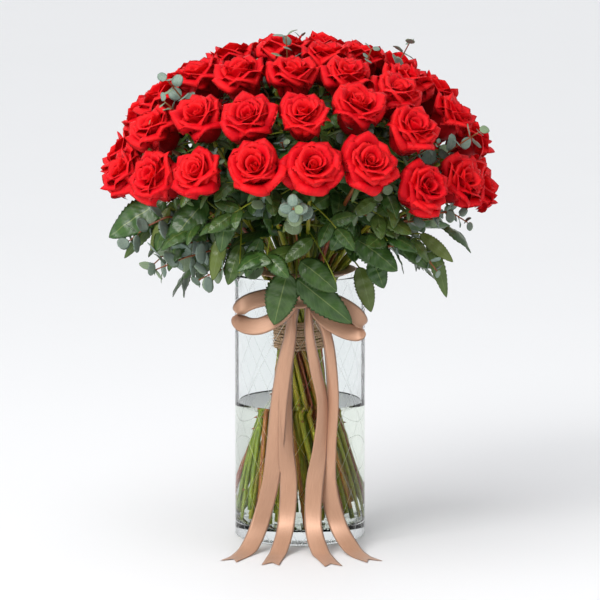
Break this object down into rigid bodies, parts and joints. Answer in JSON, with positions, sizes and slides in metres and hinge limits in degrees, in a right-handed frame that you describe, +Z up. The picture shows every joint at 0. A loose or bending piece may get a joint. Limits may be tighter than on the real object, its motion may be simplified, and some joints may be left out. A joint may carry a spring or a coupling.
{
  "type": "roses in a vase",
  "caption": "Hand-tied dome of red roses with eucalyptus, standing in water in a tall clear glass cylinder vase, tied with twine and a satin ribbon with long tails.",
  "frame": {"origin": "middle of the vase's foot, on the surface it stands on", "axes": "+Z up along the vase's axis, front with the ribbon's tails along -Y, +X to the right"},
  "size_m": [0.4289, 0.4417, 0.5766],
  "materials": {
    "glass": "clear polished glass with a fine etched lattice",
    "water": "clear water, faintly green from the stems",
    "petals": "velvety red petals, darker in the heart",
    "stem": "fresh olive green stems, partly reddish brown, with thorns",
    "leaf": "semi-gloss dark green rose leaves with paler veins",
    "eucalyptus": "matt grey-green leaves with a waxy bloom",
    "twine": "hairy natural jute twine",
    "satin": "rose-gold satin ribbon"
  },
  "bodies": {
    "root": {"vase": "glass", "water": "water", "jute_binding": "twine", "ribbon_knot": "satin", "ribbon_loop_left": "satin", "ribbon_loop_right": "satin", "ribbon_tail_left": "satin", "ribbon_tail_left_inner": "satin", "ribbon_tail_right_inner": "satin", "ribbon_tail_right": "satin", "rose_01": "petals", "rose_02": "petals", "rose_03": "petals", "rose_04": "petals", "rose_05": "petals", "rose_06": "petals", "rose_07": "petals", "rose_08": "petals", "rose_09": "petals", "rose_10": "petals", "rose_11": "petals", "rose_12": "petals", "rose_13": "petals", "rose_14": "petals", "rose_15": "petals", "rose_16": "petals", "rose_17": "petals", "rose_18": "petals", "rose_19": "petals", "rose_20": "petals", "rose_21": "petals", "rose_22": "petals", "rose_23": "petals", "rose_24": "petals", "rose_25": "petals", "rose_26": "petals", "rose_27": "petals", "rose_28": "petals", "rose_29": "petals", "rose_30": "petals", "rose_31": "petals", "rose_32": "petals", "rose_33": "petals", "rose_34": "petals", "rose_35": "petals", "rose_36": "petals", "rose_three_01": "petals", "rose_three_02": "petals", "rose_three_03": "petals", "rose_three_04": "petals", "rose_three_05": "petals", "rose_three_06": "petals", "rose_three_07": "petals", "rose_three_08": "petals", "eucalyptus_01": "eucalyptus", "eucalyptus_02": "eucalyptus", "eucalyptus_03": "eucalyptus", "eucalyptus_04": "eucalyptus", "eucalyptus_05": "eucalyptus", "eucalyptus_06": "eucalyptus"}
  },
  "joints": []
}
